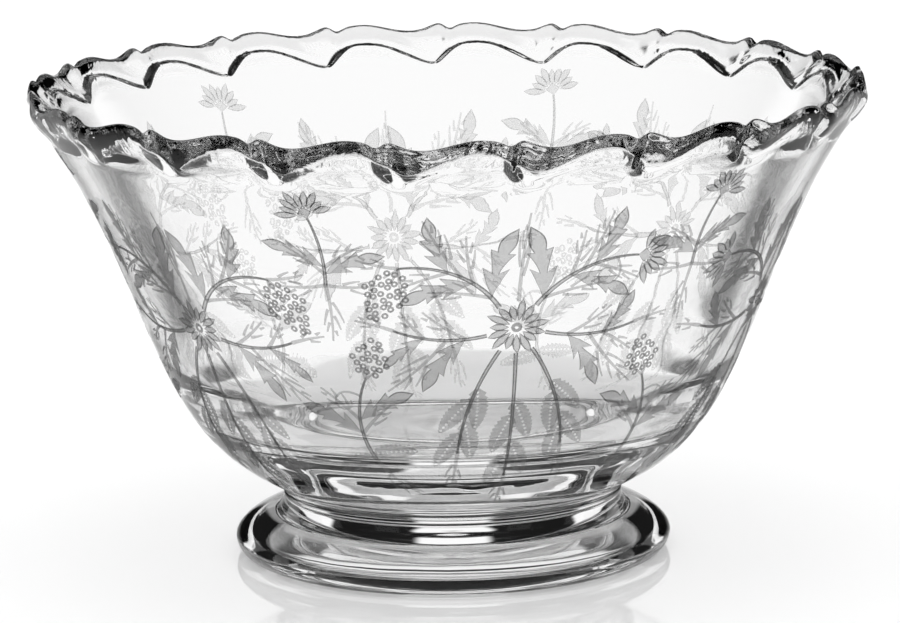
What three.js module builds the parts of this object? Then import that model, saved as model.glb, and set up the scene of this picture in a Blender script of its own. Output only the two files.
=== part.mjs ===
// A footed snack bowl in clear pressed glass, with a crimped rim.
// Millimetres, +Z up. The origin is on the bowl's axis at the level of the table.
import * as THREE from "three";

// Foot. Its recess runs from the axis (0) to the contact ring (1), in shares of its depth.
const footRadius = 56.2;
const footWidestHeight = 4.4;
const footTopHeight = 10.7;
const footShoulder = 1.65;
const contactRadius = 51.9;
const contactWidth = 3.3;
const recessDepth = 4.7;
const recessOutline = [
  { out: 0, up: 0.62 },
  { out: 0.31, up: 0.62 },
  { out: 0.47, up: 0.77 },
  { out: 0.64, up: 0.98 },
  { out: 0.79, up: 1 },
  { out: 0.94, up: 0.48 },
  { out: 1, up: 0 },
];

// Neck, the wafer of glass that joins the foot to the bowl
const neckBaseRadius = 45.8;
const neckRadius = 43.6;
const neckHeight = 4.8;

// Bowl. The wall's outline runs from the neck's top (0, 0) to the root of the lip (1, 1),
// and the dish of the floor from the floor's edge (0, 0) to the foot of the even wall (1, 1).
const wallThickness = 4;
const extraThickness = 1;
const floorThickness = 14.1;
const floorInset = 5;
const evenWallEnd = 0.42;
const wallOutline = [
  { out: 0, up: 0 },
  { out: 0.012, up: 0.021 },
  { out: 0.071, up: 0.05 },
  { out: 0.227, up: 0.111 },
  { out: 0.363, up: 0.196 },
  { out: 0.472, up: 0.302 },
  { out: 0.609, up: 0.492 },
  { out: 0.733, up: 0.683 },
  { out: 0.878, up: 0.873 },
  { out: 1, up: 1 },
];
const dishOutline = [
  { out: 0.835, up: 0.631 },
  { out: 0.765, up: 0.423 },
  { out: 0.491, up: 0.25 },
  { out: 0.236, up: 0.118 },
  { out: 0.019, up: 0.009 },
  { out: 0, up: 0 },
];

// Crimped lip: its section on a crest and in a dip, out and up from the crest of the top edge
const crimpCount = 21;
const firstKnobTurn = -7.35 / 360;
const lipRadius = 106;
const lipHeight = 122.85;
const lipRoot = { out: -4.8, up: -12.85 };
const innerRoot = { out: -8.8, up: -11.65 };
const lipSection = [
  { crest: [-2.4, -8.35], dip: [-2.4, -11.05] },
  { crest: [-0.8, -6.55], dip: [0.4, -9.85] },
  { crest: [0.1, -4.85], dip: [1.9, -7.75] },
  { crest: [0.5, -2.55], dip: [2, -5.05] },
];
const topEdge = { crest: [-0.6, 0], dip: [0.2, -2.25] };
const bevelFoot = { crest: [-3.4, -3.45], dip: [-6.7, -8.25] };
const bevelTurn = { out: -0.5, up: -0.9 };

// Where each wave turns, in degrees round the bowl from the nearest knob
const lipWave = { crest: -5.88, dip: 1.21, fallEase: 1.8, riseEase: 0.87 };
const topWave = { crest: -5.5, dip: 4, fallEase: 0.9, riseEase: 1 };
const topRound = 0.6;
const knobHeight = 1.25;
const knobWidth = { before: 1.1, after: 2 };
const notch = { depth: 0.8, place: -1.9, width: 0.9 };
const sectionPlaces = [-5.6, -3.3, -1.8, 0, 1.5, 6];

// Fineness of the faces
const footFaces = 96;
const innerSteps = 6;
const edgeSteps = 5;

// Heights that the sizes above lead to
const neckTop = footTopHeight + neckHeight;
const floorHeight = neckTop + floorThickness;
const floorRadius = neckRadius - floorInset;
const crimpDegrees = 360 / crimpCount;

const fullTurn = 2 * Math.PI;
const quarterTurn = Math.PI / 2;

const clearGlass = new THREE.MeshStandardMaterial({
  color: 0xe9eced,
  roughness: 0.04,
  metalness: 0,
  transparent: true,
  opacity: 0.35,
});

// A bulging quarter from one end of a section to the other: fullness 2 is a plain ellipse
function roundOver(centre, halfWidth, halfHeight, fullness, steps) {
  const points = [];
  for (let step = 0; step <= steps; step++) {
    const angle = (quarterTurn * step) / steps;
    points.push(
      new THREE.Vector2(
        centre.x + halfWidth * Math.cos(angle) ** (2 / fullness),
        centre.y + halfHeight * Math.sin(angle) ** (2 / fullness),
      ),
    );
  }
  return points;
}

// Turns a section in radius and height about the upright axis
function turned(section, faces) {
  const geometry = new THREE.LatheGeometry(section, faces);
  geometry.rotateX(quarterTurn);
  return geometry;
}

function namedMesh(name, geometry) {
  const mesh = new THREE.Mesh(geometry, clearGlass.clone());
  mesh.name = name;
  return mesh;
}

// The foot: a domed disc on a flat contact ring, with a shallow recess under it
function makeFoot() {
  const recessRadius = contactRadius - contactWidth;
  const recess = recessOutline.map(({ out, up }) => new THREE.Vector2(recessRadius * out, recessDepth * up));
  const centre = new THREE.Vector2(neckBaseRadius, footWidestHeight);
  const underEdge = roundOver(
    new THREE.Vector2(contactRadius, footWidestHeight),
    footRadius - contactRadius,
    -footWidestHeight,
    2,
    edgeSteps,
  ).reverse();
  const dome = roundOver(
    centre,
    footRadius - neckBaseRadius,
    footTopHeight - footWidestHeight,
    footShoulder,
    edgeSteps + 2,
  );
  const section = [...recess, ...underEdge, ...dome.slice(1), new THREE.Vector2(0, footTopHeight)];
  return namedMesh("foot", turned(section, footFaces));
}

// The neck: a short wafer whose side is a hollow curve
function makeNeck() {
  const flare = neckBaseRadius - neckRadius;
  const section = [new THREE.Vector2(0, footTopHeight)];
  for (let step = 0; step <= edgeSteps; step++) {
    const share = step / edgeSteps;
    section.push(new THREE.Vector2(neckRadius + flare * (1 - share) ** 2, footTopHeight + neckHeight * share));
  }
  section.push(new THREE.Vector2(0, neckTop));
  return namedMesh("neck_wafer", turned(section, footFaces));
}

function easeBetween(share) {
  return (1 - Math.cos(Math.PI * share)) / 2;
}

// Height in a wave round the rim: 1 on its crest and 0 in its dip
function waveLift(offset, { crest, dip, fallEase, riseEase }) {
  const fall = dip - crest;
  const afterCrest = (offset - crest + crimpDegrees) % crimpDegrees;
  if (afterCrest < fall) return 1 - easeBetween((afterCrest / fall) ** fallEase);
  return easeBetween(((afterCrest - fall) / (crimpDegrees - fall)) ** riseEase);
}

function bump(distance, width) {
  const widths = distance / width;
  return Math.exp(-widths * widths);
}

// Height of the top edge over its wave, for the small knob and the notch before it
function topRise(offset) {
  const knob = knobHeight * bump(offset, offset > 0 ? knobWidth.after : knobWidth.before);
  return knob - notch.depth * bump(offset - notch.place, notch.width);
}

function onLip(out, up) {
  return new THREE.Vector2(lipRadius + out, lipHeight + up);
}

function blend({ crest, dip }, lift) {
  return onLip(...dip).lerp(onLip(...crest), lift);
}

// A point between two others, out and up by shares of the way from the first to the last
function between(first, last, { out, up }) {
  return new THREE.Vector2(
    THREE.MathUtils.lerp(first.x, last.x, out),
    THREE.MathUtils.lerp(first.y, last.y, up),
  );
}

// Outside of the wall, from the neck up to the root of the lip
function outerWall() {
  const foot = new THREE.Vector2(neckRadius, neckTop);
  const root = onLip(lipRoot.out, lipRoot.up);
  return new THREE.SplineCurve(wallOutline.map((mark) => between(foot, root, mark)));
}

// The lip from the wall's outside, over the top edge and down the bevel to the wall's inside
function lipPoints(offset) {
  const lift = waveLift(offset, lipWave);
  const edgeRadius = blend(topEdge, lift).x;
  const top = blend(topEdge, waveLift(offset, topWave)).y + topRise(offset);
  const bevelEnd = blend(bevelFoot, lift);
  return [
    ...lipSection.map((mark) => blend(mark, lift)),
    new THREE.Vector2(edgeRadius + 1.2 * topRound, top - 1.4 * topRound),
    new THREE.Vector2(edgeRadius + 0.3 * topRound, top),
    new THREE.Vector2(edgeRadius - 0.6 * topRound, top - 0.4 * topRound),
    bevelEnd,
    new THREE.Vector2(bevelEnd.x + bevelTurn.out, bevelEnd.y + bevelTurn.up),
    onLip(innerRoot.out, innerRoot.up),
  ];
}

// The bowl's section at one place round the rim, from the axis below to the axis on the floor
function bowlSection(offset) {
  const wall = outerWall();
  const section = [new THREE.Vector2(0, neckTop), ...wall.points, ...lipPoints(offset)];
  for (let step = innerSteps - 1; step >= 0; step--) {
    const share = THREE.MathUtils.lerp(evenWallEnd, 1, step / innerSteps);
    const outside = wall.getPointAt(share);
    const along = wall.getTangentAt(share);
    const thickness = wallThickness + extraThickness * (1 - share) ** 3;
    section.push(
      new THREE.Vector2(outside.x - along.y * thickness, outside.y + along.x * thickness),
    );
  }
  const floorEdge = new THREE.Vector2(floorRadius, floorHeight);
  const evenWallFoot = section.at(-1);
  section.push(...dishOutline.map((mark) => between(floorEdge, evenWallFoot, mark)));
  section.push(new THREE.Vector2(0, floorHeight));
  return section;
}

// The bowl: a turned body whose columns are set where the waves of the lip turn
function makeBowl() {
  const sections = sectionPlaces.map(bowlSection);
  const geometry = turned(sections[0], crimpCount * sectionPlaces.length);
  const position = geometry.getAttribute("position");
  for (let index = 0; index < position.count; index++) {
    const row = index % sections[0].length;
    const column = Math.floor(index / sections[0].length);
    const place = column % sectionPlaces.length;
    const crimp = Math.floor(column / sectionPlaces.length);
    const degrees = crimp * crimpDegrees + sectionPlaces[place];
    const angle = firstKnobTurn * fullTurn + THREE.MathUtils.degToRad(degrees);
    const point = sections[place][row];
    position.setXYZ(index, point.x * Math.sin(angle), -point.x * Math.cos(angle), point.y);
  }
  geometry.computeVertexNormals();
  return namedMesh("bowl", geometry);
}

const snackBowl = new THREE.Group();
snackBowl.name = "snack_bowl";
snackBowl.add(makeFoot(), makeNeck(), makeBowl());

export default snackBowl;
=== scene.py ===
import math

import bpy
import numpy as np
from mathutils import Matrix, Vector


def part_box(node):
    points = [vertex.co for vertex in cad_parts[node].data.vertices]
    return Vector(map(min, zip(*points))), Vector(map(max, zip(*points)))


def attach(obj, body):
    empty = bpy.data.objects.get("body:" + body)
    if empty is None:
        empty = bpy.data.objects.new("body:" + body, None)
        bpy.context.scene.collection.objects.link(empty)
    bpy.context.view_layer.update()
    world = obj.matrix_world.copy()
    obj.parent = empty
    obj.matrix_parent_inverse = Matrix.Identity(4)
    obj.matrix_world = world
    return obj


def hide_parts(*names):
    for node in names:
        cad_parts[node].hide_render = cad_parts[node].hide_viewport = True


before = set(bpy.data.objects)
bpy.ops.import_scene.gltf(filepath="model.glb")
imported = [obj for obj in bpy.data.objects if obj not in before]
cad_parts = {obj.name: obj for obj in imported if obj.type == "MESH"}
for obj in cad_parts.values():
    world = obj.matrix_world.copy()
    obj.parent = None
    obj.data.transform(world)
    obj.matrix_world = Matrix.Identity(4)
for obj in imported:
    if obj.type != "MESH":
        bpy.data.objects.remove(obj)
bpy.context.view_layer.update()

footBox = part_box("foot")
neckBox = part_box("neck_wafer")
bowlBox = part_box("bowl")
print("frame loaded")


def calc(tree, operation, a, b=None):
    node = tree.nodes.new("ShaderNodeMath")
    node.operation = operation
    for index, value in enumerate((a, b)):
        if isinstance(value, (int, float)):
            node.inputs[index].default_value = value
        elif value is not None:
            tree.links.new(value, node.inputs[index])
    return node.outputs[0]


def fade(tree, value, start, end, low, high):
    node = tree.nodes.new("ShaderNodeMapRange")
    node.interpolation_type = "SMOOTHSTEP"
    tree.links.new(value, node.inputs["Value"])
    node.inputs["From Min"].default_value = start
    node.inputs["From Max"].default_value = end
    node.inputs["To Min"].default_value = low
    node.inputs["To Max"].default_value = high
    return node.outputs["Result"]


# Camera: the photograph's viewpoint, in metres and degrees, for a picture 900 pixels wide
cameraSet = {
    "distance": 1.16636,
    "height": 0.29037,
    "pitch": 11.092,
    "roll": -0.860,
    "focalPixels": 4621.5,
    "pictureWidth": 900,
    "sensorWidth": 36.0,
    "nearest": 0.01,
    "farthest": 100,
}


def makeCamera(values):
    data = bpy.data.cameras.new("photo_camera")
    data.sensor_width = values["sensorWidth"]
    data.lens = values["focalPixels"] * values["sensorWidth"] / values["pictureWidth"]
    data.clip_start = values["nearest"]
    data.clip_end = values["farthest"]
    camera = bpy.data.objects.new("photo_camera", data)
    bpy.context.collection.objects.link(camera)
    pitch = math.radians(values["pitch"])
    roll = math.radians(values["roll"])
    ahead = Vector((0, math.cos(pitch), -math.sin(pitch)))
    right = Vector((1, 0, 0))
    up = right.cross(ahead)
    tiltedRight = math.cos(roll) * right + math.sin(roll) * up
    tiltedUp = math.cos(roll) * up - math.sin(roll) * right
    turn = Matrix((tiltedRight, tiltedUp, -ahead)).transposed().to_4x4()
    place = Matrix.Translation((0, -values["distance"], values["height"]))
    camera.matrix_world = place @ turn
    bpy.context.scene.camera = camera


makeCamera(cameraSet)
print("camera placed")

# Glass: lengths in metres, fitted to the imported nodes. Recess, outline, dish and floor are marked in
# shares of a length. Shoulder and edgeFullness say how full a curve is, where 2 is a plain ellipse
footSet = {
    "radius": (footBox[1].x - footBox[0].x) / 2,
    "top": footBox[1].z,
    "widestHeight": 0.0044,
    "shoulder": 1.65,
    "edgeFullness": 2,
    "contactRadius": 0.0519,
    "contactWidth": 0.0033,
    "recessDepth": 0.0047,
    "recess": [(0, 0.62), (0.31, 0.62), (0.47, 0.77), (0.64, 0.98), (0.79, 1), (0.94, 0.48), (1, 0)],
}
neckSet = {
    "baseRadius": (neckBox[1].x - neckBox[0].x) / 2,
    "radius": 0.0436,
    "flareEase": 2,
    "top": neckBox[1].z,
}
wallSet = {
    "thickness": 0.004,
    "extraThickness": 0.001,
    "thickening": 3,
    "floorThickness": 0.0141,
    "floorInset": 0.005,
    "ringWidth": 0.0006,
    "ringRise": 0.0002,
    "evenWallEnd": 0.42,
    "evenWallMarks": 8,
    "outline": [
        (0, 0), (0.012, 0.021), (0.071, 0.050), (0.227, 0.111), (0.363, 0.196),
        (0.472, 0.302), (0.609, 0.492), (0.733, 0.683), (0.878, 0.873), (1, 1),
    ],
    "dish": [(0.835, 0.631), (0.765, 0.423), (0.491, 0.25), (0.236, 0.118), (0.035, 0.013)],
    "floor": (0.9, 0.7, 0.5, 0.25, 0),
}
# Lip: places out and up from its top edge, on the crests and in the dips of the crimps, and
# degrees round from the nearest knob. The far half of the lip has an outline of its own
lipSet = {
    "radius": 0.1060,
    "height": bowlBox[1].z,
    "crimps": 21,
    "firstKnob": 262.65,
    "crest": -5.88,
    "dip": 1.21,
    "fallEase": 1.8,
    "riseEase": 0.87,
    "outerLead": 0.4,
    "sideChange": 2,
    "root": (-0.0048, -0.01285),
    "innerRoot": (-0.0088, -0.01165),
    "onCrest": [(-0.0039, -0.0110), (-0.00304, -0.00913), (-0.0026, -0.0082),
                (-0.0014, -0.0066), (-0.0004, -0.0048), (0.0003, -0.00255)],
    "onDip": [(-0.0041, -0.01195), (-0.0033, -0.0110), (-0.0028, -0.0104),
              (-0.0012, -0.0088), (0.0002, -0.0070), (0.0012, -0.00505)],
    "farOnCrest": [(-0.0026, -0.0090), (-0.0011, -0.0062), (0.0000, -0.00575),
                   (0.00025, -0.0047), (0.00035, -0.0036), (0.0004, -0.00255)],
    "farOnDip": [(-0.00465, -0.0125), (-0.0044, -0.0121), (-0.0035, -0.0116),
                 (-0.0015, -0.0093), (0.0002, -0.0070), (0.0012, -0.00505)],
    "topOnCrest": (-0.0006, -0.0001),
    "topOnDip": (0.0002, -0.00225),
    "bevelOnCrest": (-0.0034, -0.00345),
    "bevelOnDip": (-0.0067, -0.00825),
    "bevelTurn": (-0.0005, -0.0009),
    "topCrest": -5.5,
    "topDip": 4.0,
    "topFallEase": 0.9,
    "topRiseEase": 1.0,
    "topRound": 0.0006,
    "edgeOutline": [(1.2, -1.4), (0.5, -0.2), (-0.5, -0.2)],
    "bevelShares": (0.3, 0.6, 0.88),
    "knobHeight": 0.0012,
    "knobBefore": 1.1,
    "knobAfter": 2.0,
    "knobFoot": (-0.0002, 0.0014),
    "notchDepth": 0.0008,
    "notchPlace": -1.9,
    "notchWidth": 0.9,
}
glassSet = {
    "columnsPerCrimp": 30,
    "crowding": 0.5,
    "joinRows": 2,
    "wallRows": 70,
    "lipRows": 56,
    "edgeRows": 12,
    "recessRows": 44,
}
pitchAngle = 360 / lipSet["crimps"]


def easeCurve(marks, count, ends=0):
    # natural cubic spline through the marks, by distance along them, drawn without the first and
    # last spans where ends is 1
    marks = np.array(marks, dtype=float)
    steps = np.linalg.norm(np.diff(marks, axis=0), axis=1)
    places = np.concatenate([[0], np.cumsum(steps)])
    size = len(marks)
    system = np.zeros((size, size))
    wanted = np.zeros((size, marks.shape[1]))
    system[0, 0] = system[-1, -1] = 1
    for row in range(1, size - 1):
        before, after = steps[row - 1], steps[row]
        system[row, row - 1:row + 2] = before, 2 * (before + after), after
        slopeAfter = (marks[row + 1] - marks[row]) / after
        slopeBefore = (marks[row] - marks[row - 1]) / before
        wanted[row] = 6 * (slopeAfter - slopeBefore)
    bends = np.linalg.solve(system, wanted)
    points = []
    for place in np.linspace(places[ends], places[-1 - ends], count):
        part = min(int(np.searchsorted(places, place, side="right")) - 1, size - 2)
        width = steps[part]
        left = (places[part + 1] - place) / width
        right = 1 - left
        bend = (left ** 3 - left) * bends[part] + (right ** 3 - right) * bends[part + 1]
        points.append(left * marks[part] + right * marks[part + 1] + bend * width ** 2 / 6)
    return np.array(points)


def easeBetween(share):
    return (1 - math.cos(math.pi * share)) / 2


def fromKnob(azimuth):
    # degrees from the nearest knob, from minus half a pitch to half a pitch
    offset = (azimuth - lipSet["firstKnob"] + pitchAngle / 2) % pitchAngle
    return offset - pitchAngle / 2


def wave(offset, crest, dip, fallEase, riseEase):
    # 1 on the crest and 0 at the bottom of the dip
    fall = dip - crest
    afterCrest = (offset - crest) % pitchAngle
    if afterCrest < fall:
        return 1 - easeBetween((afterCrest / fall) ** fallEase)
    return easeBetween(((afterCrest - fall) / (pitchAngle - fall)) ** riseEase)


def crimpLift(offset):
    return wave(offset, lipSet["crest"], lipSet["dip"], lipSet["fallEase"], lipSet["riseEase"])


def bump(distance, width):
    return math.exp(-(distance / width) ** 2)


def knobShape(offset):
    # 1 at a knob, falling off more slowly after it than before it
    return bump(offset, lipSet["knobAfter"] if offset > 0 else lipSet["knobBefore"])


def topRise(offset):
    # height of the top edge over its wave
    notch = lipSet["notchDepth"] * bump(offset - lipSet["notchPlace"], lipSet["notchWidth"])
    return lipSet["knobHeight"] * knobShape(offset) - notch


def blend(low, high, share):
    return tuple(a + (b - a) * share for a, b in zip(low, high))


def onLip(mark):
    return (lipSet["radius"] + mark[0], lipSet["height"] + mark[1])


def moved(point, shift, share=1):
    return (point[0] + shift[0] * share, point[1] + shift[1] * share)


def between(first, last, mark):
    return (first[0] + (last[0] - first[0]) * mark[0], first[1] + (last[1] - first[1]) * mark[1])


def wallOutside():
    foot = (neckSet["radius"], neckSet["top"])
    root = onLip(lipSet["root"])
    return easeCurve([between(foot, root, mark) for mark in wallSet["outline"]], glassSet["wallRows"])


def quarterBulge(centre, halfWidth, halfHeight, fullness, count):
    points = []
    for angle in np.linspace(0, math.pi / 2, count):
        out = halfWidth * max(0, math.cos(angle)) ** (2 / fullness)
        up = halfHeight * max(0, math.sin(angle)) ** (2 / fullness)
        points.append((centre[0] + out, centre[1] + up))
    return points


def footSection():
    recess = footSet["contactRadius"] - footSet["contactWidth"]
    marks = [(recess * out, footSet["recessDepth"] * up) for out, up in footSet["recess"]]
    under = easeCurve(marks, glassSet["recessRows"])
    edge = quarterBulge((footSet["contactRadius"], footSet["widestHeight"]),
                        footSet["radius"] - footSet["contactRadius"], -footSet["widestHeight"],
                        footSet["edgeFullness"], glassSet["edgeRows"])
    dome = quarterBulge((neckSet["baseRadius"], footSet["widestHeight"]),
                        footSet["radius"] - neckSet["baseRadius"],
                        footSet["top"] - footSet["widestHeight"],
                        footSet["shoulder"], glassSet["edgeRows"] * 2)
    return [*under, *reversed(edge), *dome[1:]]


def neckSection():
    flare = neckSet["baseRadius"] - neckSet["radius"]
    rise = neckSet["top"] - footSet["top"]
    points = []
    for share in np.linspace(0, 1, glassSet["edgeRows"])[1:-1]:
        out = flare * (1 - share) ** neckSet["flareEase"]
        points.append((neckSet["radius"] + out, footSet["top"] + rise * share))
    return points


def lipSection(azimuth, before, after):
    # from the outside wall, over the edge and down the bevel to the inside wall
    offset = fromKnob(azimuth)
    lift = crimpLift(offset)
    outerLift = crimpLift(offset + lipSet["outerLead"])
    topLift = wave(offset, lipSet["topCrest"], lipSet["topDip"],
                   lipSet["topFallEase"], lipSet["topRiseEase"])
    # 0 on the near half and 1 on the far half, where a small step runs round under the lip
    sideShare = 0.5 + lipSet["sideChange"] * math.sin(math.radians(azimuth))
    away = easeBetween(min(1, max(0, sideShare)))
    crests = [blend(near, far, away) for near, far in zip(lipSet["onCrest"], lipSet["farOnCrest"])]
    dips = [blend(near, far, away) for near, far in zip(lipSet["onDip"], lipSet["farOnDip"])]
    outer = [onLip(blend(low, high, outerLift)) for low, high in zip(dips, crests)]
    edgeRadius = onLip(blend(lipSet["topOnDip"], lipSet["topOnCrest"], outerLift))[0]
    top = onLip(blend(lipSet["topOnDip"], lipSet["topOnCrest"], topLift))[1] + topRise(offset)
    rounding = lipSet["topRound"]
    edge = [moved((edgeRadius, top), mark, rounding) for mark in lipSet["edgeOutline"]]
    # the foot of the bevel rises at the near knobs, so that they stay dark
    inner = onLip(blend(lipSet["bevelOnDip"], lipSet["bevelOnCrest"], lift))
    inner = moved(inner, lipSet["knobFoot"], (1 - away) * knobShape(offset))
    bevel = [blend(edge[-1], inner, share) for share in lipSet["bevelShares"]]
    under = moved(inner, lipSet["bevelTurn"])
    root, innerRoot = onLip(lipSet["root"]), onLip(lipSet["innerRoot"])
    tail = blend(under, innerRoot, 0.5)
    marks = [before, root, *outer, *edge, *bevel, inner, under, tail, innerRoot, after]
    return easeCurve(marks, glassSet["lipRows"], ends=1)[1:-1]


def wallInside(outside):
    # from the root of the lip down the even wall and the dish, and over the floor to the axis
    along = np.gradient(outside, axis=0)
    marks = [onLip(lipSet["innerRoot"])]
    for share in np.linspace(1, wallSet["evenWallEnd"], wallSet["evenWallMarks"])[1:]:
        index = round(share * (len(outside) - 1))
        step = along[index] / np.linalg.norm(along[index])
        extra = wallSet["extraThickness"] * (1 - share) ** wallSet["thickening"]
        thickness = wallSet["thickness"] + extra
        marks.append((outside[index][0] - step[1] * thickness,
                      outside[index][1] + step[0] * thickness))
    floorHeight = neckSet["top"] + wallSet["floorThickness"]
    edge = neckSet["radius"] - wallSet["floorInset"]
    evenFoot = marks[-1]
    marks += [between((edge, floorHeight), evenFoot, mark) for mark in wallSet["dish"]]
    inside = easeCurve(marks, glassSet["wallRows"])
    # a fine ring runs round the floor's edge
    floor = [(edge + wallSet["ringWidth"], floorHeight + wallSet["ringRise"]), (edge, floorHeight)]
    floor += [(edge * share, floorHeight) for share in wallSet["floor"]]
    return [*inside[:-1], *floor]


def makeGlass():
    perCrimp = glassSet["columnsPerCrimp"]
    columns = lipSet["crimps"] * perCrimp
    outside = wallOutside()
    inside = wallInside(outside)
    lower = [*footSection(), *neckSection(), *outside]
    # the lip's curve takes its direction from rows a little way down the wall on both sides
    before, after = outside[-1 - glassSet["joinRows"]], inside[glassSet["joinRows"]]
    rows = []
    for column in range(columns):
        # columns crowd together at the knobs, where the lip turns fastest
        place = (column % perCrimp) / perCrimp - 0.5
        crowded = place - glassSet["crowding"] * math.sin(2 * math.pi * place) / (2 * math.pi)
        azimuth = lipSet["firstKnob"] + pitchAngle * (column // perCrimp + crowded)
        angle = math.radians(azimuth)
        section = [*lower, *lipSection(azimuth, before, after), *inside]
        rows.append([(r * math.cos(angle), r * math.sin(angle), z) for r, z in section])
    count = len(rows[0])
    vertices = [rows[0][0], rows[0][-1]]
    for row in rows:
        vertices.extend(row[1:-1])
    # the first two vertices are on the axis, and each column has the others
    perColumn = count - 2

    def corner(column, row):
        return 2 + (column % columns) * perColumn + row - 1

    faces = []
    for column in range(columns):
        faces.append((0, corner(column + 1, 1), corner(column, 1)))
        for row in range(1, perColumn):
            faces.append((corner(column, row), corner(column + 1, row),
                          corner(column + 1, row + 1), corner(column, row + 1)))
        faces.append((1, corner(column, perColumn), corner(column + 1, perColumn)))
    mesh = bpy.data.meshes.new("fused_glass")
    mesh.from_pydata(vertices, [], faces)
    mesh.update()
    mesh.shade_smooth()
    glass = bpy.data.objects.new("fused_glass", mesh)
    bpy.context.collection.objects.link(glass)
    return glass


meltSet = {
    "bending": 1.52,
    "shine": 0.3,
    "rippleScale": 60.0,
    "rippleDetail": 2,
    "rippleStretch": 2.5,
    "rippleHeight": 0.00003,
    "swirlScale": 120.0,
    "swirlDetail": 1,
    "swirlTwist": 2.5,
    "swirlHeight": 0.00015,
    "swirlZone": (0.113, 0.1175),
}


def clearGlassMaterial(values):
    material = bpy.data.materials.new("clear_glass")
    material.use_nodes = True
    tree = material.node_tree
    shader = tree.nodes["Principled BSDF"]
    shader.inputs["Base Color"].default_value = (1, 1, 1, 1)
    shader.inputs["Roughness"].default_value = 0
    shader.inputs["IOR"].default_value = values["bending"]
    shine = values["shine"]
    shader.inputs["Specular Tint"].default_value = (shine, shine, shine, 1)
    shader.inputs["Transmission Weight"].default_value = 1
    # faint ripples left by the mould, longer round the bowl than up its wall
    place = tree.nodes.new("ShaderNodeTexCoord")
    stretch = tree.nodes.new("ShaderNodeMapping")
    stretch.inputs["Scale"].default_value = (1, 1, values["rippleStretch"])
    ripple = tree.nodes.new("ShaderNodeTexNoise")
    ripple.inputs["Scale"].default_value = values["rippleScale"]
    ripple.inputs["Detail"].default_value = values["rippleDetail"]
    bumps = tree.nodes.new("ShaderNodeBump")
    bumps.inputs["Distance"].default_value = values["rippleHeight"]
    tree.links.new(place.outputs["Object"], stretch.inputs["Vector"])
    tree.links.new(stretch.outputs["Vector"], ripple.inputs["Vector"])
    tree.links.new(ripple.outputs["Fac"], bumps.inputs["Height"])
    # swirls in the lip, where the glass was melted once more
    swirl = tree.nodes.new("ShaderNodeTexNoise")
    swirl.inputs["Scale"].default_value = values["swirlScale"]
    swirl.inputs["Distortion"].default_value = values["swirlTwist"]
    swirl.inputs["Detail"].default_value = values["swirlDetail"]
    height = tree.nodes.new("ShaderNodeSeparateXYZ")
    folds = tree.nodes.new("ShaderNodeBump")
    folds.inputs["Distance"].default_value = values["swirlHeight"]
    tree.links.new(place.outputs["Object"], swirl.inputs["Vector"])
    tree.links.new(place.outputs["Object"], height.inputs["Vector"])
    inLip = fade(tree, height.outputs["Z"], *values["swirlZone"], 0, 1)
    tree.links.new(calc(tree, "MULTIPLY", swirl.outputs["Fac"], inLip), folds.inputs["Height"])
    tree.links.new(bumps.outputs["Normal"], folds.inputs["Normal"])
    tree.links.new(folds.outputs["Normal"], shader.inputs["Normal"])
    return material


glass = makeGlass()
glass.data.materials.append(clearGlassMaterial(meltSet))
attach(glass, "root")
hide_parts("bowl", "neck_wafer", "foot")
print("glass made", len(glass.data.polygons))

# Etched sprays, in metres and degrees: each motif is drawn flat and laid on the outside of the wall
etchSet = {
    "repeats": 3,
    "firstTurn": 281.0,
    "base": 0.0215,
    "lift": 0.00004,
    "sheetGap": 0.00003,
    "depth": 0.00002,
    "step": 0.0015,
    "tip": 0.00014,
    "outline": 0.00032,
    "outlineShare": 0.9,
    "bladeAcross": 4,
    "bladeFullness": 0.8,
}
sheets = {name: [] for name in ("etched_stems", "etched_leaves", "etched_twigs",
                                "etched_blossoms", "etched_berries", "etched_outlines")}
pen = {"turn": 0.0, "mirror": 1}


def ahead(heading):
    return np.array((math.cos(math.radians(heading)), math.sin(math.radians(heading))))


def bow(start, heading, length, bend, sway=1.0):
    # points along a stroke whose heading turns by bend; a sway above 1 turns it late
    count = max(3, round(length / etchSet["step"]) + 1)
    points = [np.array(start, dtype=float)]
    for share in (np.arange(count - 1) + 0.5) / (count - 1):
        points.append(points[-1] + ahead(heading + bend * share ** sway) * length / (count - 1))
    return np.array(points)


def spot(points, share):
    # place and heading part of the way along a stroke
    place = share * (len(points) - 1)
    index = min(int(place), len(points) - 2)
    step = points[index + 1] - points[index]
    return points[index] + step * (place - index), math.degrees(math.atan2(step[1], step[0]))


def lay(piece, rows, closed=False):
    sheets[piece].append((np.array(rows), closed, pen["turn"], pen["mirror"]))


def ribbon(piece, points, widthAt, across=2, lean=0.0, outlined=False):
    # a strip along the points, whose lean pushes its edges forward and whose outline runs inside them
    along = np.gradient(np.array(points), axis=0)
    along /= np.linalg.norm(along, axis=1)[:, None]
    rows = []
    for index, (point, step) in enumerate(zip(points, along)):
        width = max(widthAt(index / (len(points) - 1)), etchSet["tip"])
        side = np.array((-step[1], step[0]))
        push = step * width * lean * (len(points) - 1 - index) / len(points)
        rows.append([point + side * width * place + push * abs(place)
                     for place in np.linspace(-0.5, 0.5, across)])
    lay(piece, rows)
    if not outlined:
        return
    for edge, inner in ((0, 1), (-1, -2)):
        line = []
        for row in rows:
            inward = row[inner] - row[edge]
            wide = np.linalg.norm(inward)
            reach = min(etchSet["outline"], wide * etchSet["outlineShare"])
            line.append([row[edge], row[edge] + inward / wide * reach])
        lay("etched_outlines", line if edge == 0 else [pair[::-1] for pair in line])


def ring(centre, inner, outer, corners):
    rows = []
    for angle in np.arange(corners) * 360 / corners:
        rows.append([centre + ahead(angle) * outer, centre + ahead(angle) * inner])
    lay("etched_berries", rows, True)


def tapered(start, end):
    return lambda share: start + (end - start) * share


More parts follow.
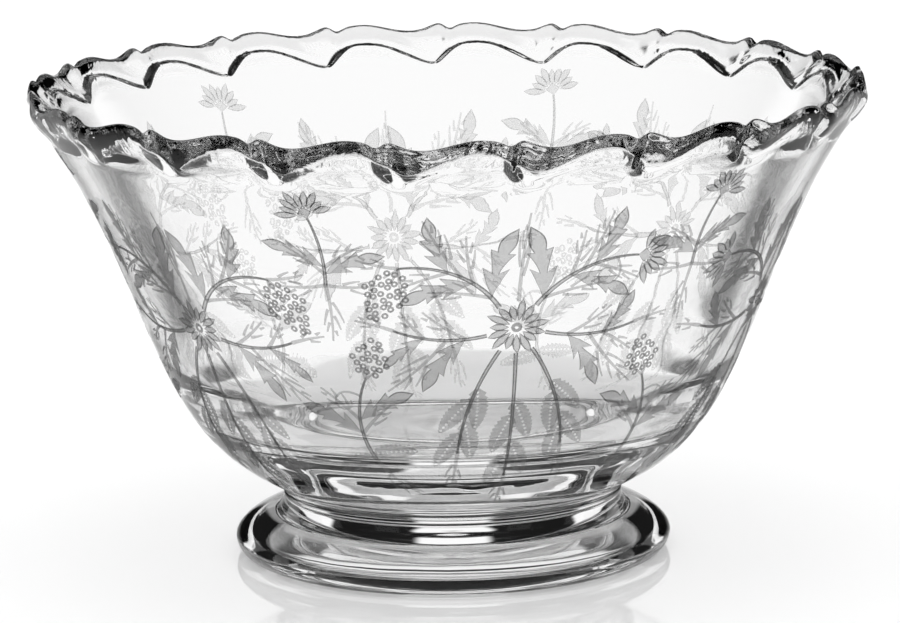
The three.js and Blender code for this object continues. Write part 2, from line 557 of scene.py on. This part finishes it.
def bulge(width, peak):
    # width along a blade; a peak below 1 makes it widest nearer its root
    return lambda share: width * max(0, math.sin(math.pi * share ** peak)) ** etchSet["bladeFullness"]


def blade(piece, start, heading, length, width, bend, peak):
    points = bow(start, heading, length, bend)
    ribbon(piece, points, bulge(width, peak), etchSet["bladeAcross"], outlined=True)


leafSet = {
    "widthShare": 0.38,
    "points": 28,
    "lobes": 2,
    "lobedPart": 0.58,
    "cleft": 0.24,
    "lobeEase": 1.4,
    "rootRise": 9,
    "taper": 0.2,
    "tipWidth": 0.52,
    "tipStart": 0.22,
    "lean": 1.3,
}


def lobedLeaf(start, heading, length, bend):
    # a leaf with pointed lobes on its sides and a long pointed tip
    width = length * leafSet["widthShare"]
    lobedPart = leafSet["lobedPart"]

    def widthAt(share):
        if share > lobedPart:
            tipShare = (share - lobedPart) / (1 - lobedPart)
            swell = leafSet["tipStart"] + (1 - leafSet["tipStart"]) * tipShare
            return width * leafSet["tipWidth"] * math.sin(math.pi * swell)
        lobe = share / lobedPart * leafSet["lobes"] % 1
        spread = leafSet["cleft"] + (1 - leafSet["cleft"]) * lobe ** leafSet["lobeEase"]
        return width * min(1, share * leafSet["rootRise"]) * spread * (1 - leafSet["taper"] * share)

    middle = bow(start, heading, length, bend)
    points = [spot(middle, share)[0] for share in np.linspace(0, 1, leafSet["points"])]
    ribbon("etched_leaves", points, widthAt, etchSet["bladeAcross"], leafSet["lean"], outlined=True)


laurelSet = {
    "peak": 0.75,
    "midrib": 0.00016,
    "veinGap": 0.0013,
    "veinWidth": 0.00088,
    "veinSlant": 0.8,
    "firstVein": 0.04,
    "veinSpan": 0.86,
    "veinReach": 0.14,
}


def laurel(start, heading, length, width, bend):
    # a pointed leaf with a clear midrib and clear slanted veins
    points = bow(start, heading, length, bend)
    veins = round(length / laurelSet["veinGap"])
    reachAt = bulge(width / 2, laurelSet["peak"])
    veinWidth = tapered(laurelSet["veinWidth"], laurelSet["veinWidth"])
    for side in (-1, 1):
        for vein in range(veins):
            share = laurelSet["firstVein"] + laurelSet["veinSpan"] * vein / veins
            root, angle = spot(points, share)
            reach = reachAt(share + laurelSet["veinReach"])
            out = ahead(angle + 90 * side)
            first = root + out * laurelSet["midrib"]
            last = root + out * reach + ahead(angle) * reach * laurelSet["veinSlant"]
            ribbon("etched_leaves", [first, (first + last) / 2, last], veinWidth)


twigSet = {
    "width": (0.0011, 0.0005),
    "forkWidth": (0.0009, 0.0004),
    "firstFork": 0.22,
    "forkSpan": 0.62,
    "forkLength": 0.48,
    "forkShorter": 0.07,
    "forkBend": 18,
    "spread": 30,
}


def twig(start, heading, length, bend, forks, spread=twigSet["spread"]):
    points = bow(start, heading, length, bend)
    ribbon("etched_twigs", points, tapered(*twigSet["width"]))
    for fork in range(forks):
        root, angle = spot(points, twigSet["firstFork"] + twigSet["forkSpan"] * fork / forks)
        side = 1 if fork % 2 else -1
        reach = length * (twigSet["forkLength"] - twigSet["forkShorter"] * fork)
        line = bow(root, angle + side * spread, reach, -side * twigSet["forkBend"])
        ribbon("etched_twigs", line[1:], tapered(*twigSet["forkWidth"]))


tendrilSet = {
    "width": (0.0007, 0.0004),
    "sway": 1.6,
}


def tendril(start, heading, length, bend):
    # a curl that tightens towards its end
    points = bow(start, heading, length, bend, tendrilSet["sway"])
    ribbon("etched_twigs", points, tapered(*tendrilSet["width"]))


# Sizes in shares of the flower's radius, apart from the side flower's shift and where stems start
asterSet = {
    "petalLengths": (0.76, 0.56, 0.66),
    "petalRoot": 0.24,
    "petalWidth": 0.26,
    "petalBend": 6,
    "petalPeak": 1.1,
    "eye": (0.06, 0.17),
    "eyeCorners": 10,
    "cupRoot": 0.12,
    "cupLength": 0.42,
    "cupWidth": 0.5,
    "cupPeak": 0.7,
    "sideShift": 0.001,
    "stemStart": 0.0074,
}


def aster(start, heading, radius, petals, opening):
    # narrow petals of three lengths about an eye; a flower that opens by less than a whole turn is
    # seen from its side, and has a cup in place of the eye
    whole = opening == 360
    centre = start if whole else start + ahead(heading) * asterSet["sideShift"]
    firstAngle = heading if whole else heading - opening / 2
    step = opening / petals if whole else opening / (petals - 1)
    lengths = asterSet["petalLengths"]
    for petal in range(petals):
        angle = firstAngle + step * petal
        length = radius * lengths[petal % len(lengths)]
        root = centre + ahead(angle) * radius * asterSet["petalRoot"]
        blade("etched_blossoms", root, angle, length, radius * asterSet["petalWidth"],
              asterSet["petalBend"], asterSet["petalPeak"])
    if whole:
        inner, outer = asterSet["eye"]
        ring(centre, radius * inner, radius * outer, asterSet["eyeCorners"])
        return
    root = centre - ahead(heading) * radius * asterSet["cupRoot"]
    blade("etched_leaves", root, heading, radius * asterSet["cupLength"],
          radius * asterSet["cupWidth"], 0, asterSet["cupPeak"])


berrySet = {
    "gap": 0.0021,
    "rowShare": 0.9,
    "firstRow": 0.0022,
    "mostColumns": 4,
    "peak": 0.8,
    "fullness": 0.7,
    "ring": (0.00034, 0.00092),
    "corners": 8,
    "stir": 0.0003,
    "stirAcross": (5.1, 3.3),
    "stirUp": (2.7, 4.9),
    "stalkTurns": (-26, 0, 24),
    "stalkLength": 0.0045,
    "stalkBend": 0.4,
    "stalkWidth": 0.0006,
}


def berries(start, heading, length, width):
    # a bunch of small rings, closely set in a drop shape, on short stalks
    gap = berrySet["gap"]
    inner, outer = berrySet["ring"]
    for row in range(round(length / gap)):
        share = (row + 0.5) * gap / length
        half = width / 2 * math.sin(math.pi * share ** berrySet["peak"]) ** berrySet["fullness"]
        up = berrySet["firstRow"] + row * gap * berrySet["rowShare"]
        for column in range(-berrySet["mostColumns"], berrySet["mostColumns"] + 1):
            across = (column + 0.5 * (row % 2)) * gap
            if abs(across) > half:
                continue
            stir = np.array((math.sin(np.dot((row, column), berrySet["stirAcross"])),
                             math.cos(np.dot((row, column), berrySet["stirUp"]))))
            centre = start + ahead(heading) * up + ahead(heading + 90) * across
            ring(centre + stir * berrySet["stir"], inner, outer, berrySet["corners"])
    for turn in berrySet["stalkTurns"]:
        stalk = bow(start, heading + turn, berrySet["stalkLength"], turn * berrySet["stalkBend"])
        ribbon("etched_twigs", stalk, tapered(berrySet["stalkWidth"], berrySet["stalkWidth"]))


branchSet = {
    "tip": 0.0006,
    "twigTurn": 0.9,
    "twigLength": 0.75,
    "twigBend": 0.5,
    "twigForks": 4,
}


def branch(start, heading, length, bend, thickness, leaves, strokes):
    # a stem with lobed leaves, a twig across from each leaf, and further strokes along the stem
    points = bow(start, heading, length, bend)
    ribbon("etched_stems", points, tapered(thickness, branchSet["tip"]), outlined=True)
    for share, turn, size, curl in leaves:
        root, angle = spot(points, share)
        lobedLeaf(root, angle + turn, size, curl)
        twig(root, angle - turn * branchSet["twigTurn"], size * branchSet["twigLength"],
             -curl * branchSet["twigBend"], branchSet["twigForks"])
    for draw, share, *numbers in strokes:
        draw(spot(points, share)[0], *numbers)


frondSet = {
    "thickness": 0.0011,
    "leaves": ((0.36, 1), (0.47, -1), (0.68, 1), (0.79, -1)),
    "leafTurn": 26,
    "leafLength": 0.0145,
    "leafWidth": 0.0048,
    "leafBend": 14,
    "twigPlace": 0.97,
    "twigLength": 0.014,
    "twigForks": 4,
    "twigSpread": 28,
}


def frond(start, heading, length, bend):
    # a stem with pairs of laurel leaves and a twig at its end
    points = bow(start, heading, length, bend)
    ribbon("etched_stems", points, tapered(frondSet["thickness"], branchSet["tip"]), outlined=True)
    for share, side in frondSet["leaves"]:
        root, angle = spot(points, share)
        laurel(root, angle + side * frondSet["leafTurn"], frondSet["leafLength"],
               frondSet["leafWidth"], -side * frondSet["leafBend"])
    root, angle = spot(points, frondSet["twigPlace"])
    twig(root, angle, frondSet["twigLength"], 0, frondSet["twigForks"], frondSet["twigSpread"])


# Each stroke of a motif has its function, the side of the aster on which it starts (or none, to
# start at the motif's root), its heading and what else the function takes. A branch ends with its
# leaves (share along it, turn, length and bend) and with the strokes that start along it by share.
motifs = {
    "spray": (
        (aster, None, 8, 0.0082, 15, 360),
        (branch, 128, 122, 0.029, 66, 0.0013,
         ((0.12, -38, 0.021, -34), (0.34, 40, 0.019, 30), (0.58, -38, 0.018, -26)),
         ((berries, 1, 250, 0.0165, 0.0122), (twig, 0.46, 128, 0.020, -12, 5),
          (twig, 1, 176, 0.011, -16, 3))),
        (branch, 54, 56, 0.030, -62, 0.0013,
         ((0.08, 36, 0.022, 30), (0.38, -42, 0.018, -30), (0.60, 38, 0.018, 26)),
         ((aster, 1, -8, 0.0088, 9, 150), (twig, 0.50, 62, 0.018, 14, 5),
          (tendril, 0.80, -60, 0.018, -330))),
        (branch, -14, -16, 0.024, 34, 0.0011,
         ((0.24, -38, 0.018, -28), (0.62, 36, 0.014, 26)),
         ((twig, 1, 16, 0.010, -10, 3), (twig, 0.48, -58, 0.020, 16, 5))),
        (branch, 196, 194, 0.023, -36, 0.0011,
         ((0.22, 38, 0.018, 28), (0.66, 40, 0.013, 24)),
         ((twig, 1, 160, 0.010, 10, 3), (twig, 0.42, 236, 0.020, -16, 5))),
        (twig, 90, 90, 0.026, -4, 6, 16),
        (frond, -120, -120, 0.032, 30),
        (frond, -88, -88, 0.038, -4),
        (frond, -56, -56, 0.031, -32),
    ),
    "crown": (
        (branch, None, 98, 0.020, -22, 0.001,
         ((0.16, 52, 0.017, 28), (0.26, -54, 0.017, -28)),
         ((aster, 1, 76, 0.0084, 9, 160), (twig, 0, 188, 0.013, -20, 4),
          (twig, 0, -14, 0.013, 20, 4), (twig, 0, 266, 0.016, 12, 5))),
    ),
    "sprig": (
        (branch, None, 112, 0.026, -48, 0.0011,
         ((0.36, 44, 0.017, 28), (0.52, -44, 0.017, -28)),
         ((berries, 1, 70, 0.0135, 0.0100), (tendril, 0.80, 150, 0.016, 330),
          (twig, 0, -66, 0.016, 14, 4), (laurel, 0.06, 200, 0.0135, 0.0046, 16),
          (laurel, 0.10, 14, 0.0135, 0.0046, -16))),
    ),
}

# Motif, degrees round the bowl, its root across and up the wall, and -1 where it is mirrored
layout = (
    ("spray", 0, (0, 0.051), 1),
    ("spray", 60, (0, 0.046), -1),
    ("crown", 30, (0.001, 0.064), 1),
    ("crown", 90, (0.001, 0.063), -1),
    ("sprig", 30, (0.004, 0.008), -1),
    ("sprig", 90, (0.004, 0.011), 1),
)


def drawMotif(name, turn, root, mirror):
    pen["turn"], pen["mirror"] = turn, mirror
    for draw, angle, *numbers in motifs[name]:
        start = np.array(root, dtype=float)
        if angle is not None:
            start += ahead(angle) * asterSet["stemStart"]
        draw(start, *numbers)


def sheetMesh(name, drawn, under, placeOnWall):
    # every patch is a thin closed slab; its outer face has material 0, the painted-shade frost, and
    # all others have 1, the painted-light frost
    vertices, faces, sides = [], [], []
    for repeat in range(etchSet["repeats"]):
        for rows, closed, turn, mirror in drawn:
            azimuth = etchSet["firstTurn"] + turn + 360 * repeat / etchSet["repeats"]
            if mirror < 0:
                rows = (rows * (-1, 1))[:, ::-1]
            length, width = rows.shape[:2]
            start = len(vertices)
            for lift in (under + etchSet["depth"], under):
                vertices.extend(placeOnWall(azimuth, point, lift) for row in rows for point in row)
            below = length * width
            for row in range(length if closed else length - 1):
                here, beyond = start + row * width, start + (row + 1) % length * width
                for column in range(width - 1):
                    face = (here + column, beyond + column, beyond + column + 1, here + column + 1)
                    faces += [face, tuple(index + below for index in face[::-1])]
                    sides += [0, 1]
                for edge, flip in ((0, True), (width - 1, False)):
                    rim = (here + edge, beyond + edge, beyond + edge + below, here + edge + below)
                    faces.append(rim[::-1] if flip else rim)
                    sides.append(1)
            if closed:
                continue
            for row, flip in ((0, False), (length - 1, True)):
                for column in range(width - 1):
                    here = start + row * width + column
                    rim = (here, here + 1, here + 1 + below, here + below)
                    faces.append(rim[::-1] if flip else rim)
                    sides.append(1)
    mesh = bpy.data.meshes.new(name)
    mesh.from_pydata(vertices, [], faces)
    mesh.polygons.foreach_set("material_index", sides)
    mesh.update()
    return mesh


def layOnWall(outside):
    steps = np.linalg.norm(np.diff(outside, axis=0), axis=1)
    places = np.concatenate([[0], np.cumsum(steps)])
    along = np.gradient(outside, axis=0)
    along /= np.linalg.norm(along, axis=1)[:, None]

    def placeOnWall(azimuth, point, lift):
        reach = etchSet["base"] + point[1]
        radius, height = (np.interp(reach, places, outside[:, axis]) for axis in (0, 1))
        out, up = (np.interp(reach, places, along[:, axis]) for axis in (0, 1))
        angle = math.radians(azimuth) + point[0] / radius
        radius, height = radius + up * lift, height - out * lift
        return (radius * math.cos(angle), radius * math.sin(angle), height)

    pieces = []
    for layer, (name, drawn) in enumerate(sheets.items()):
        under = etchSet["lift"] + layer * etchSet["sheetGap"]
        mesh = sheetMesh(name, drawn, under, placeOnWall)
        piece = bpy.data.objects.new(name, mesh)
        bpy.context.collection.objects.link(piece)
        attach(piece, "root")
        pieces.append(piece)
        print(name, len(mesh.polygons))
    return pieces


# Frosted skin: outside, inside and line are each a shade and a density, and each shade is painted
frostSet = {
    "roughness": 0.7,
    "specular": 0.1,
    "grainScale": 900.0,
    "grainDetail": 3,
    "grainDepth": 0.35,
    "grainRange": (0.75, 0.9),
    "shadeRange": (0.75, 1.15),
    "facingRange": (0.4, 0.85),
    "grazingGain": 1.75,
    # painted shade: the outside face is dark grey, standing in for the shade the frost shows
    "outside": (0.14, 0.55),
    # painted light: the inside face, seen through the far wall, is a lighter, lit copy of the same
    # skin
    "inside": (0.75, 0.36),
    # the outlines are denser etch of the pattern, and their darker shade is painted shade
    "line": (0.06, 0.78),
    "linePieces": ("etched_outlines", "etched_berries"),
}


def makeGrainGroup(values):
    # fine stipple of an acid-etched surface: 1 where it is dense, less where it is thin
    group = bpy.data.node_groups.new("etchGrain", "ShaderNodeTree")
    for name, value in (("Scale", values["grainScale"]), ("Depth", values["grainDepth"])):
        socket = group.interface.new_socket(name, in_out="INPUT", socket_type="NodeSocketFloat")
        socket.default_value = value
    group.interface.new_socket("Density", in_out="OUTPUT", socket_type="NodeSocketFloat")
    start = group.nodes.new("NodeGroupInput")
    end = group.nodes.new("NodeGroupOutput")
    place = group.nodes.new("ShaderNodeTexCoord")
    grain = group.nodes.new("ShaderNodeTexNoise")
    grain.inputs["Detail"].default_value = values["grainDetail"]
    group.links.new(place.outputs["Object"], grain.inputs["Vector"])
    group.links.new(start.outputs["Scale"], grain.inputs["Scale"])
    thin = calc(group, "MULTIPLY", grain.outputs["Fac"], start.outputs["Depth"])
    group.links.new(calc(group, "SUBTRACT", 1.0, thin), end.inputs["Density"])
    return group


def etchMaterial(name, values, look, grain):
    # frosted skin, seen only from outside the slab and denser where it is seen at a low angle
    # the look's shade is painted: painted shade on the outside face, painted light on the inside face
    shade, density = values[look]
    material = bpy.data.materials.new(name)
    material.use_nodes = True
    tree = material.node_tree
    shader = tree.nodes["Principled BSDF"]
    shader.inputs["Roughness"].default_value = values["roughness"]
    shader.inputs["Specular IOR Level"].default_value = values["specular"]
    stipple = tree.nodes.new("ShaderNodeGroup")
    stipple.node_tree = grain
    stipple.inputs["Scale"].default_value = values["grainScale"]
    stipple.inputs["Depth"].default_value = values["grainDepth"]
    side = tree.nodes.new("ShaderNodeNewGeometry")
    seen = calc(tree, "SUBTRACT", 1.0, side.outputs["Backfacing"])
    edge = tree.nodes.new("ShaderNodeLayerWeight")
    grazing = fade(tree, edge.outputs["Facing"], *values["facingRange"],
                   density, min(1.0, density * values["grazingGain"]))
    dense = calc(tree, "MULTIPLY", stipple.outputs["Density"], grazing)
    tree.links.new(calc(tree, "MULTIPLY", seen, dense), shader.inputs["Alpha"])
    # the painted shade or light, varied a little by the grain
    darker, lighter = values["shadeRange"]
    tone = fade(tree, stipple.outputs["Density"], *values["grainRange"],
                shade * darker, shade * lighter)
    tree.links.new(tone, shader.inputs["Base Color"])
    return material


for place in layout:
    drawMotif(*place)
grainGroup = makeGrainGroup(frostSet)
# a painted-shade and a painted-light copy of one frost skin, and painted-shade outlines
outerEtchPaintedShade = etchMaterial("etched_outside_painted_shade", frostSet, "outside", grainGroup)
innerEtchPaintedLight = etchMaterial("etched_inside_painted_light", frostSet, "inside", grainGroup)
lineEtchPaintedShade = etchMaterial("etched_line_painted_shade", frostSet, "line", grainGroup)
for piece in layOnWall(wallOutside()):
    # outer faces take the painted-shade frost, the other faces the painted-light frost
    piece.data.materials.append(lineEtchPaintedShade if piece.name in frostSet["linePieces"] else outerEtchPaintedShade)
    piece.data.materials.append(innerEtchPaintedLight)
print("sprays etched")

# Table and light, with angles in degrees: white lobes stand round the horizon with dark between
studioSet = {
    "bounces": 24,
    "tableSize": 30.0,
    "tableShade": 0.98,
    "tableRoughness": 0.06,
    "tableGlow": 0.12,
    "mirrorAmount": 0.9,
    "mirrorFacing": (0.66, 0.76),
    "skyBright": 18.0,
    "skyDark": 26.0,
    "lobes": 8,
    "lobeWhite": 6.5,
    "lobeDark": 10.5,
    "cameraAzimuth": -90,
    "behindDark": 25.0,
    "behindWhite": 30.0,
    "manyReflections": 2,
    "darkLevel": 0.01,
}


def makeTable(values):
    size = values["tableSize"] / 2
    mesh = bpy.data.meshes.new("table")
    mesh.from_pydata([(-size, -size, 0), (size, -size, 0), (size, size, 0), (-size, size, 0)],
                     [], [(0, 1, 2, 3)])
    table = bpy.data.objects.new("table", mesh)
    bpy.context.collection.objects.link(table)
    material = bpy.data.materials.new("white_table")
    material.use_nodes = True
    tree = material.node_tree
    shader = tree.nodes["Principled BSDF"]
    shade = values["tableShade"]
    shader.inputs["Base Color"].default_value = (shade, shade, shade, 1)
    shader.inputs["Roughness"].default_value = values["tableRoughness"]
    shader.inputs["Emission Color"].default_value = (1, 1, 1, 1)
    output = tree.nodes["Material Output"]
    # rays that leave the glass at a low angle see the white room mirrored in the table
    mirror = tree.nodes.new("ShaderNodeBsdfGlossy")
    mirror.inputs["Color"].default_value = (1, 1, 1, 1)
    mirror.inputs["Roughness"].default_value = 0
    path = tree.nodes.new("ShaderNodeLightPath")
    glow = calc(tree, "MULTIPLY", path.outputs["Is Camera Ray"], values["tableGlow"])
    tree.links.new(glow, shader.inputs["Emission Strength"])
    facing = tree.nodes.new("ShaderNodeLayerWeight")
    low, high = values["mirrorFacing"]
    grazing = fade(tree, facing.outputs["Facing"], low, high, 0, values["mirrorAmount"])
    amount = calc(tree, "MULTIPLY", path.outputs["Is Transmission Ray"], grazing)
    mix = tree.nodes.new("ShaderNodeMixShader")
    tree.links.new(amount, mix.inputs[0])
    tree.links.new(shader.outputs[0], mix.inputs[1])
    tree.links.new(mirror.outputs[0], mix.inputs[2])
    tree.links.new(mix.outputs[0], output.inputs["Surface"])
    mesh.materials.append(material)


def makeWorld(values):
    world = bpy.data.worlds.new("studio")
    bpy.context.scene.world = world
    world.use_nodes = True
    tree = world.node_tree
    nodes, links = tree.nodes, tree.links
    background = nodes["Background"]
    coords = nodes.new("ShaderNodeTexCoord")
    split = nodes.new("ShaderNodeSeparateXYZ")
    links.new(coords.outputs["Generated"], split.inputs[0])
    perRadian = 180 / math.pi
    elevation = calc(tree, "MULTIPLY", calc(tree, "ARCSINE", split.outputs["Z"]), perRadian)
    upright = fade(tree, elevation, values["skyBright"], values["skyDark"], 1, 0)
    azimuth = calc(tree, "ARCTAN2", split.outputs["Y"], split.outputs["X"])
    azimuth = calc(tree, "MULTIPLY", azimuth, perRadian)
    # degrees from the middle of the nearest lobe; two turns more keep the angle above zero
    twoTurns = 720
    share = 360 / values["lobes"]
    shifted = calc(tree, "MODULO", calc(tree, "ADD", azimuth, twoTurns + share / 2), share)
    inLobe = calc(tree, "ABSOLUTE", calc(tree, "SUBTRACT", shifted, share / 2))
    lobe = fade(tree, inLobe, values["lobeWhite"], values["lobeDark"], 1, 0)
    # after two reflections light sees a dark room behind the camera
    path = nodes.new("ShaderNodeLightPath")
    behind = calc(tree, "ABSOLUTE", calc(tree, "SUBTRACT", azimuth, values["cameraAzimuth"]))
    behind = fade(tree, behind, values["behindDark"], values["behindWhite"], 0, 1)
    direct = calc(tree, "LESS_THAN", path.outputs["Glossy Depth"], values["manyReflections"])
    lobe = calc(tree, "MULTIPLY", lobe, calc(tree, "MAXIMUM", behind, direct))
    level = calc(tree, "MULTIPLY", upright, lobe)
    level = fade(tree, level, 0, 1, values["darkLevel"], 1)
    # the table and the etched skin are lit evenly from all round
    scattered = calc(tree, "MINIMUM", path.outputs["Diffuse Depth"], 1)
    level = calc(tree, "MAXIMUM", level, scattered)
    links.new(level, background.inputs["Color"])
    background.inputs["Strength"].default_value = 1


makeTable(studioSet)
makeWorld(studioSet)
scene = bpy.context.scene
scene.view_settings.view_transform = "Standard"
scene.cycles.max_bounces = studioSet["bounces"]
scene.cycles.transmission_bounces = studioSet["bounces"]
scene.cycles.glossy_bounces = studioSet["bounces"]
print("table and light made")
